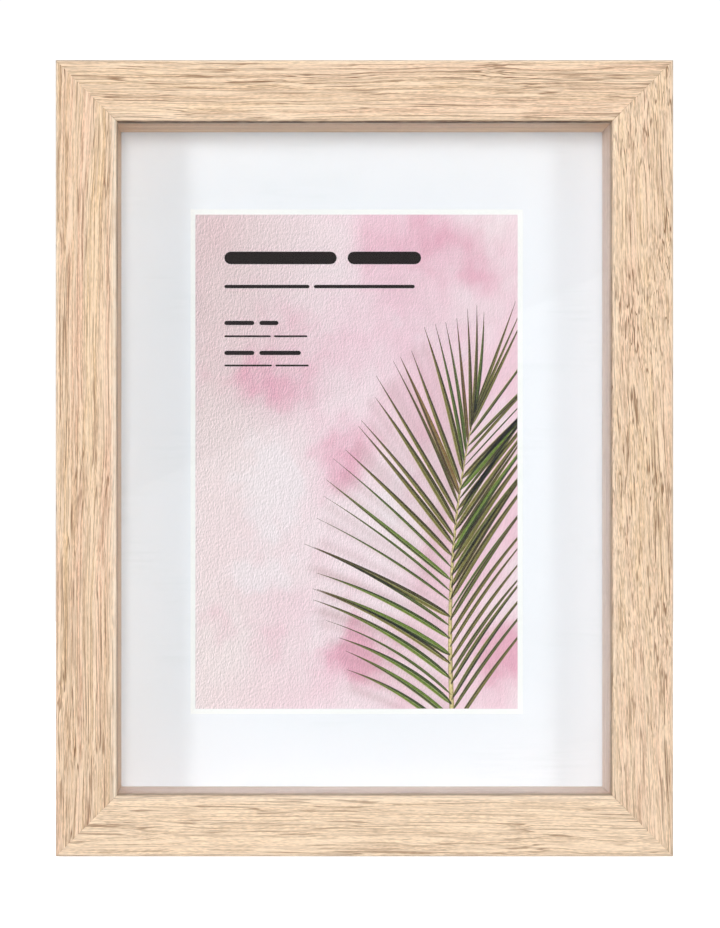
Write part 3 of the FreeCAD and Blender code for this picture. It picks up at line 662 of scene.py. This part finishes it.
def lay_blade(points, faces, colours, line, width, light, dark, rib, tip_start):
    """One leaflet: a long blade with a pale rib, one half lighter than the other."""
    first = len(points)
    for i in range(BLADE_STEPS + 1):
        t = i / BLADE_STEPS
        centre, run = on_line(line, t)
        side = Vector((-run.y, run.x, 0))
        swell = math.sin(math.pi * t**0.62) ** 0.75 if 0 < t < 1 else 0.0
        half = width / 2 * (0.22 * (1 - t) + swell * (1 - 0.35 * t))
        half = max(half, 0.05)
        brown = max(0.0, (t - tip_start) / (1 - tip_start)) ** 1.3
        for across in BLADE_SECTION:
            points.append(centre + side * (half * across))
            tone = light if across > 0 else dark
            if across == 1.0:
                tone = blend_colour(PALE_EDGE, tone, 0.25)
            if across == -1.0:
                tone = blend_colour(DARK_EDGE, tone, 0.2)
            if across == RIB_PLACE:
                tone = blend_colour(tone, RIB, rib * (1 - t))
            colours.append(blend_colour(tone, TIP, brown * 0.9))
    rows = len(BLADE_SECTION)
    for i in range(BLADE_STEPS):
        for j in range(rows - 1):
            a = first + i * rows + j
            faces.append((a, a + 1, a + rows + 1, a + rows))


def lay_stalk(points, faces, colours):
    """The stalk: a strip that narrows upwards, pale along its middle."""
    first = len(points)
    for i in range(STALK_STEPS + 1):
        share = i / STALK_STEPS
        centre, run = stalk_at(share)
        side = Vector((-run.y, run.x, 0))
        half = 0.62 * (1 - share) + 0.16
        for across in STALK_SECTION:
            points.append(centre + side * (half * across))
            colours.append(STALK_DARK if abs(across) == 1.0 else STALK_LIGHT)
    rows = len(STALK_SECTION)
    for i in range(STALK_STEPS):
        for j in range(rows - 1):
            a = first + i * rows + j
            faces.append((a, a + 1, a + rows + 1, a + rows))


def flat_mesh(name, points, faces, colours, depth):
    """A printed shape: mm in the window to the picture's plane, depth in front of the paper."""
    mesh = bpy.data.meshes.new(name)
    y = picture_low.y - depth
    placed = [(window_low.x + p.x * MM, y, window_low.z + p.y * MM) for p in points]
    mesh.from_pydata(placed, [], faces)
    layer = mesh.color_attributes.new("ink", "FLOAT_COLOR", "POINT")
    layer.data.foreach_set("color", np.array(colours, np.float32).ravel())
    return linked(name, mesh)


def trim_to_window(piece, overlap):
    """Cuts away what lies past the window's edge, under the mat."""
    shape = bmesh.new()
    shape.from_mesh(piece.data)
    for corner, sign in ((window_low, -1), (window_high, 1)):
        for axis in (0, 2):
            normal = Vector((0, 0, 0))
            normal[axis] = sign
            spot = corner + normal * overlap
            everything = shape.verts[:] + shape.edges[:] + shape.faces[:]
            bmesh.ops.bisect_plane(shape, geom=everything, plane_co=spot, plane_no=normal,
                                   clear_outer=True)
    bmesh.ops.recalc_face_normals(shape, faces=shape.faces)
    for face in shape.faces:
        if face.normal.y > 0:
            face.normal_flip()
    shape.to_mesh(piece.data)
    shape.free()


def printed_ink():
    """Matte printing ink in the colour that the shape carries, broken by the paper's tooth."""
    g = Graph("printed_ink")
    point = g.place()
    ink = g.add("VertexColor", layer_name="ink").outputs["Color"]
    tooth = g.noise(point, (3.0, 3.0, 3.0), 2.0, 0.6).outputs["Fac"]
    vein = g.noise(point, (1.2, 1.0, 1.2), 3.0, 0.7, 4.0).outputs["Fac"]
    colour = g.scaled(ink, g.level(vein, 0.3, 0.7, 0.78, 1.22))
    return g.finish(Base_Color=colour, Roughness=g.level(tooth, 0.3, 0.7, 0.6, 0.8),
                    Specular_IOR_Level=0.25, Normal=g.bump(tooth, 0.01, 0.4))


def leaflet_tones(height, left, dice):
    """Light half, dark half and rib strength of a leaflet: fresh low down, olive and drier above."""
    roll = dice.random()
    if left and height < 0.45:
        light, dark = FRESH if roll < 0.7 else OLIVE
    elif left:
        light, dark = OLIVE if roll < 0.6 else (FRESH if roll < 0.8 else DRY)
    else:
        fresh_share = 0.5 if height < 0.35 else 0.8
        light, dark = OLIVE if roll < fresh_share * 0.5 else (DEEP if roll < 0.85 else FRESH)
    return light, dark, (0.9 if left and height < 0.5 else 0.55) * dice.uniform(0.6, 1.0)


def leaflet_width(height, left, broad, dice):
    """A leaflet's width in mm: broad ones seen flat, slim ones seen edge on."""
    width = dice.uniform(1.5, 2.1) if broad else dice.uniform(0.75, 1.1)
    width *= 1.0 - 0.16 * height
    if not left and height < 0.35:
        width *= 0.68
    if not left and height > 0.8:
        width *= 0.62
    if left and height > 0.55:
        width = max(width, 1.1)
    return width


def place_print(name, points, faces, colours):
    """A printed shape on the picture, cut off under the mat."""
    piece = flat_mesh(name, points, faces, colours, INK_LIFT)
    trim_to_window(piece, INK_UNDER_MAT)
    piece.data.materials.append(printed_ink())
    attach(piece, "picture")


def frond():
    """The palm frond: two rows of leaflets on a pale stalk, the right row running on under the mat."""
    dice = random.Random(FROND_SEED)
    points, faces, colours, lines = [], [], [], []
    for i in range(LEAFLETS):
        for left in (False, True):
            t = (i + dice.uniform(-0.18, 0.18) + (0.0 if left else 0.5)) / (LEAFLETS - 1)
            t = min(1.0, max(0.0, t))
            share = t * (1.14 - 0.14 * t)
            line = leaflet_line(share, left, dice)
            height = max(0.0, line[0].y / STALK_TOP)
            broad = dice.random() < (0.75 if left else 0.8) - 0.35 * height * left
            width = leaflet_width(height, left, broad, dice)
            light, dark, rib = leaflet_tones(height, left, dice)
            if not broad:
                light, rib = blend_colour(light, dark, 0.5), rib * 0.5
            if dice.random() < 0.4:
                light, dark = dark, light
            tip_start = dice.uniform(0.45, 0.7)
            lay_blade(points, faces, colours, line, width, light, dark, rib, tip_start)
            lines.append((height, left, line))
    lay_stalk(points, faces, colours)
    place_print("palm_frond_print", points, faces, colours)
    return lines


# Plain rounded bars in place of printed words: height of the middle, thickness and lengths, in mm
# from the window's lower left corner.
BARS = (
    (132.3, 3.7, (33.0, 21.6)),
    (123.9, 1.0, (25.0, 29.6)),
    (113.2, 1.25, (8.8, 5.6)),
    (109.3, 0.55, (13.6, 9.8)),
    (104.4, 1.25, (8.8, 12.2)),
    (100.7, 0.55, (14.0, 9.8)),
)
BARS_LEFT = 8.4
BARS_GAP = 0.6


def lay_bar(points, faces, colours, left, middle, length, thick):
    """A bar with round ends, as a fan of faces about its middle."""
    first = len(points)
    half = thick / 2
    points.append(Vector((left + length / 2, middle, 0)))
    rim = []
    for centre, start in ((left + length - half, -90), (left + half, 90)):
        for i in range(9):
            angle = math.radians(start + 180 * i / 8)
            rim.append(Vector((centre + half * math.cos(angle), middle + half * math.sin(angle), 0)))
    points += rim
    colours += [INK] * (len(rim) + 1)
    for i in range(len(rim)):
        faces.append((first, first + 1 + i, first + 1 + (i + 1) % len(rim)))


def caption_bars():
    """The rows of bars, each row with a gap between its bars."""
    points, faces, colours = [], [], []
    for middle, thick, lengths in BARS:
        left = BARS_LEFT
        for length in lengths:
            lay_bar(points, faces, colours, left, middle, length, thick)
            left += length + BARS_GAP + thick * 0.7       # round ends need more room
    place_print("caption_bars_print", points, faces, colours)


COARSE = 3.0 * MM
FINE = 0.6 * MM
SHADOW_HEIGHT = 0.86          # the stalk's share under which it and its leaflets cast one
SHADOW_TURN = math.radians(5)
SHADOW_SPOTS = 30
SHADOW_REACH = 0.9            # the share of a leaflet that casts one
STALK_SPOTS = 24


def spaced(low, high, fine_low, fine_high):
    """Places from low to high, close together from fine_low to fine_high, where shadows are drawn."""
    spans = ((low, fine_low, COARSE), (fine_low, fine_high, FINE), (fine_high, high, COARSE))
    places = [np.linspace(a, b, max(1, round((b - a) / step)) + 1) for a, b, step in spans]
    return np.unique(np.concatenate(places))


def frond_shadow(x, z, lines):
    """How deep the frond's printed shadow is, 0 to 1, at points given in mm in the window."""
    clear = np.ones(len(x))
    for height, left, line in lines:
        if not left or height > SHADOW_HEIGHT:
            continue
        base = line[0]
        for i in range(SHADOW_SPOTS):
            t = i / (SHADOW_SPOTS - 1) * SHADOW_REACH
            arm = on_line(line, t)[0] - base
            spot_x = base.x + arm.x * math.cos(SHADOW_TURN) - arm.y * math.sin(SHADOW_TURN) - 1.2
            spot_z = base.y + arm.x * math.sin(SHADOW_TURN) + arm.y * math.cos(SHADOW_TURN) - 1.8
            spread = 0.5 + 0.6 * t
            far = (x - spot_x) ** 2 + (z - spot_z) ** 2
            clear *= 1 - 0.25 * (1 - 0.6 * t) * np.exp(-far / (2 * spread * spread))
    for i in range(STALK_SPOTS):
        t = i / (STALK_SPOTS - 1)
        spot = stalk_at(SHADOW_HEIGHT - 0.5 * t)[0] - Vector((9.5 * t**0.8, 0, 0))
        far = (x - spot.x) ** 2 + (z - spot.y) ** 2
        clear *= 1 - 0.13 * math.sin(math.pi * (0.15 + 0.85 * t)) * np.exp(-far / 5.0)
    return 1 - clear


def paper_front(lines):
    """The sheet's front face as a grid, its points carrying the frond's shadow."""
    xs = spaced(picture_low.x, picture_high.x, window_low.x + 24 * MM, window_high.x + 1 * MM)
    zs = spaced(picture_low.z, picture_high.z, window_low.z - 1 * MM, window_low.z + 118 * MM)
    columns, rows = len(xs) - 1, len(zs) - 1
    grid_x, grid_z = np.meshgrid(xs, zs)
    grid_x, grid_z = grid_x.ravel(), grid_z.ravel()
    shadow = frond_shadow((grid_x - window_low.x) / MM, (grid_z - window_low.z) / MM, lines)
    points = [(x, picture_low.y, z) for x, z in zip(grid_x, grid_z)]
    faces = []
    for row in range(rows):
        for column in range(columns):
            a = row * (columns + 1) + column
            faces.append((a, a + 1, a + columns + 2, a + columns + 1))
    mesh = bpy.data.meshes.new("picture_paper")
    mesh.from_pydata(points, [], faces)
    layer = mesh.attributes.new("shade", "FLOAT", "POINT")
    layer.data.foreach_set("value", shadow.astype(np.float32))
    return mesh


def picture_paper(lines):
    """The printed sheet: a pink wall on the front, plain paper on the back and edges."""
    mesh = paper_front(lines)
    shape = bmesh.new()
    shape.from_mesh(mesh)
    rim = [e for e in shape.edges if e.is_boundary]
    grown = bmesh.ops.extrude_edge_only(shape, edges=rim)["geom"]
    back = [v for v in grown if isinstance(v, bmesh.types.BMVert)]
    for vertex in back:
        vertex.co.y = picture_high.y
    bmesh.ops.contextual_create(shape, geom=[e for e in grown if isinstance(e, bmesh.types.BMEdge)])
    bmesh.ops.recalc_face_normals(shape, faces=shape.faces)
    shape.to_mesh(mesh)
    shape.free()
    piece = linked("picture_paper", mesh)
    mesh.materials.append(pink_wall())
    mesh.materials.append(mat_board("paper_back", linear(232, 230, 224), linear(244, 243, 239)))
    for face in mesh.polygons:
        face.material_index = 0 if face.normal.y < -0.5 else 1
    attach(piece, "picture")
    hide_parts("picture_sheet")


# Pinker and whiter patches of the printed wall: each one's middle, in mm from the window's lower left
# corner, its half width and half height, and its strength.
PATCHES = (
    (84, 135, 34, 24, 0.14),
    (14, 95, 30, 12, 0.11),
    (28, 117, 24, 14, 0.05),
    (47, 15, 17, 16, 0.17),
    (93, 18, 14, 18, 0.15),
    (42, 69, 12, 26, 0.08),
    (8, 50, 12, 14, 0.05),
    (20, 64, 18, 16, -0.14),
    (18, 38, 20, 14, -0.12),
    (36, 24, 14, 10, -0.10),
    (60, 108, 26, 10, -0.10),
)


RELIEF = (2.3, 1.0, 1.3)          # frequency of the wall's lumps, per mm
RELIEF_SHIFT = (0.17, 0.0, -0.12)  # mm between a lump and the printed shade beside it


def patch_sum(g, point):
    """The patches' strengths added up at a point, with ragged edges."""
    ragged = g.noise(point, (0.09, 0.09, 0.09), 3.0, 0.6, 3.3).outputs["Color"]
    ragged = g.vector("MULTIPLY", g.vector("SUBTRACT", ragged, (0.5, 0.5, 0.5)), (26.0, 0.0, 26.0))
    point = g.vector("ADD", point, ragged)
    total = 0.0
    for across, up, half_wide, half_tall, strength in PATCHES:
        middle = (window_low.x * 1000 + across, 0.0, window_low.z * 1000 + up)
        away = g.vector("SUBTRACT", point, middle)
        away = g.vector("MULTIPLY", away, (1 / half_wide, 0.0, 1 / half_tall))
        distance = g.add("VectorMath", {0: away}, operation="LENGTH").outputs["Value"]
        total = g.math("ADD", g.level(distance, 1.0, 0.1, 0.0, strength), total)
    return total


def pink_wall():
    """A print of hand-brushed pink render: soft patches, upright brush marks, and printed relief."""
    g = Graph("pink_wall_print")
    point = g.place()
    parts = g.add("SeparateXYZ", {"Vector": point})
    across, up = parts.outputs["X"], parts.outputs["Z"]
    patch = g.noise(point, (0.030, 0.03, 0.022), 3.0, 0.55, 2.6).outputs["Fac"]
    bloom = g.noise(point, (0.042, 0.04, 0.036), 3.0, 0.6, 8.3).outputs["Fac"]
    pale = g.level(across, -50.0, 5.0, 1.0, 0.0)
    rosy = g.math("ADD", g.math("MULTIPLY", bloom, 0.7), patch_sum(g, point))
    colour = g.mix(g.level(patch, 0.36, 0.64), linear(232, 214, 222), linear(228, 192, 207))
    aged = g.mix(g.level(up, 90.0, 160.0), linear(226, 213, 215), linear(210, 189, 192))
    colour = g.mix(g.math("MULTIPLY", pale, 0.8), colour, aged)
    colour = g.mix(g.level(rosy, 0.37, 0.60, 0.0, 0.8), colour, linear(216, 152, 177))
    colour = g.mix(g.level(rosy, 0.31, 0.16, 0.0, 0.6), colour, linear(230, 222, 228))
    relief = g.noise(point, RELIEF, 2.0, 0.6, 6.1).outputs["Fac"]
    shifted = g.vector("ADD", point, RELIEF_SHIFT)
    lee = g.noise(shifted, RELIEF, 2.0, 0.6, 6.1).outputs["Fac"]
    rough_side = g.level(across, -50.0, 40.0, 1.0, 0.35)
    emboss = g.math("MULTIPLY", g.math("SUBTRACT", relief, lee), g.math("MULTIPLY", rough_side, 1.4))
    brush = g.noise(point, (0.8, 1.0, 0.12), 3.0, 0.6, 1.2).outputs["Fac"]
    colour = g.scaled(colour, g.math("ADD", emboss, g.level(brush, 0.3, 0.7, 0.965, 1.015)))
    shade = g.add("Attribute", attribute_name="shade").outputs["Fac"]
    colour = g.mix(g.math("MULTIPLY", shade, 0.9, True), colour, linear(158, 104, 112))
    grit = g.noise(point, (2.6, 2.6, 1.8), 2.0, 0.7, 6.1).outputs["Fac"]
    return g.finish(Base_Color=colour, Roughness=g.level(grit, 0.3, 0.7, 0.55, 0.7),
                    Specular_IOR_Level=0.25, Normal=g.bump(grit, 0.008, 0.4))


# ---- studio -------------------------------------------------------------------------------------
FLOOR_REACH = 1.6
FLOOR_GLOW = 0.8
# Name, place, width, height, watts, and whether it shows in mirroring surfaces.
SOFTBOXES = (
    ("front_softbox", (-0.03, -1.75, 0.23), 0.4, 0.5, 19.5, False),
    ("left_softbox", (-1.05, -1.45, 0.3), 0.25, 0.6, 7.6, True),
    ("right_softbox", (0.80, -1.50, 0.3), 0.25, 0.6, 4.8, True),
    ("back_softbox_left", (-1.0, 1.1, 0.9), 0.7, 0.7, 15, True),
    ("back_softbox_right", (0.9, 1.2, 0.7), 0.7, 0.7, 11, True),
)
WORLD_SEEN = 1.05             # the backdrop's strength for the camera
WORLD_FRONT = 0.25            # and for everything else, in front of the frame
WORLD_REAR = 0.75             # and behind it
CARD_PLACE = -1.5
CARD_CORNERS = ((-0.9, -0.25), (0.9, 0.58), (0.9, -0.9), (-0.9, -0.9))
CARD_GLOW = 0.75
LENS = 124.37
SENSOR = 36.0
CAMERA_SHIFT = (0.0889, 0.028)
CAMERA_X = -0.0247
CAMERA_Z = 0.1041
CAMERA_DISTANCE = 0.910


def make_stage():
    """A pale floor that throws no light up at the frame."""
    g = Graph("studio_paper")
    point = g.place()
    grain = g.noise(point, (0.4, 0.4, 0.4), 2.0).outputs["Fac"]
    colour = g.mix(g.level(grain, 0.3, 0.7), linear(250, 250, 250), linear(252, 252, 252))
    paper = g.finish(Base_Color=colour, Roughness=0.9, Specular_IOR_Level=0.1,
                     Emission_Color=(1, 1, 1, 1), Emission_Strength=FLOOR_GLOW)
    mesh = bpy.data.meshes.new("studio_floor")
    reach = FLOOR_REACH
    corners = [(-reach, -reach, 0), (reach, -reach, 0), (reach, reach, 0), (-reach, reach, 0)]
    mesh.from_pydata(corners, [], [(0, 1, 2, 3)])
    floor = linked("studio_floor", mesh)
    floor.data.materials.append(paper)
    floor.visible_glossy = False
    floor.visible_diffuse = False


def area_light(name, place, target, width, height, power, mirrored):
    """A soft rectangular light that points at target and isn't seen by the camera."""
    light = bpy.data.lights.new(name, "AREA")
    light.shape = "RECTANGLE"
    light.size, light.size_y = width, height
    light.energy = power
    holder = bpy.data.objects.new(name, light)
    holder.location = place
    holder.rotation_euler = (Vector(target) - Vector(place)).to_track_quat("-Z", "Y").to_euler()
    holder.visible_camera = False
    holder.visible_glossy = mirrored
    bpy.context.scene.collection.objects.link(holder)


def make_lights():
    """Three softboxes in front of the frame, two behind it, and the backdrop."""
    middle = (0, 0, outer_high.z / 2)
    for name, place, width, height, power, mirrored in SOFTBOXES:
        area_light(name, place, middle, width, height, power, mirrored)
    make_world()


def make_world():
    """White to the camera, dim to everything else, and brighter behind for the metal to mirror."""
    world = bpy.data.worlds.new("studio")
    bpy.context.scene.world = world
    world.use_nodes = True
    tree = world.node_tree
    tree.nodes.clear()
    way = tree.nodes.new("ShaderNodeSeparateXYZ")
    tree.links.new(tree.nodes.new("ShaderNodeTexCoord").outputs["Generated"], way.inputs[0])
    rear = tree.nodes.new("ShaderNodeMapRange")
    tree.links.new(way.outputs["Y"], rear.inputs["Value"])
    rear.inputs["From Min"].default_value = -0.3
    rear.inputs["From Max"].default_value = 0.9
    rear.inputs["To Min"].default_value = WORLD_FRONT
    rear.inputs["To Max"].default_value = WORLD_REAR
    seen = tree.nodes.new("ShaderNodeLightPath")
    strength = tree.nodes.new("ShaderNodeMix")
    strength.data_type = "FLOAT"
    strength.inputs[3].default_value = WORLD_SEEN
    tree.links.new(rear.outputs["Result"], strength.inputs[2])
    tree.links.new(seen.outputs["Is Camera Ray"], strength.inputs[0])
    glow = tree.nodes.new("ShaderNodeBackground")
    glow.inputs["Color"].default_value = (1, 1, 1, 1)
    tree.links.new(strength.outputs[0], glow.inputs["Strength"])
    out = tree.nodes.new("ShaderNodeOutputWorld")
    tree.links.new(glow.outputs[0], out.inputs["Surface"])


def make_reflector():
    """A white card behind the camera with a slanted upper edge, seen only as a faint mirror image."""
    mesh = bpy.data.meshes.new("reflector_card")
    mesh.from_pydata([(x, CARD_PLACE, z) for x, z in CARD_CORNERS], [], [(0, 1, 2, 3)])
    card = linked("reflector_card", mesh)
    g = Graph("reflector_card")
    glow = g.add("Emission", {"Color": (1, 1, 1, 1), "Strength": CARD_GLOW})
    card.data.materials.append(g.output(glow.outputs[0]))
    card.visible_camera = False
    card.visible_diffuse = False
    card.visible_shadow = False
    card.visible_transmission = False


def make_camera():
    """A long lens square on to the frame, a little left of and below its middle."""
    camera = bpy.data.cameras.new("camera")
    camera.lens = LENS
    camera.sensor_width = SENSOR
    camera.shift_x, camera.shift_y = CAMERA_SHIFT
    camera.clip_start = 0.01
    holder = bpy.data.objects.new("camera", camera)
    holder.location = (CAMERA_X, front_y - CAMERA_DISTANCE, CAMERA_Z)
    holder.rotation_euler = (math.radians(90), 0, 0)
    bpy.context.scene.collection.objects.link(holder)
    bpy.context.scene.camera = holder


make_camera()
dress_frame()
mat_piece()
picture_paper(frond())
caption_bars()
make_stage()
make_reflector()
make_lights()
bpy.context.scene.view_settings.view_transform = "Standard"
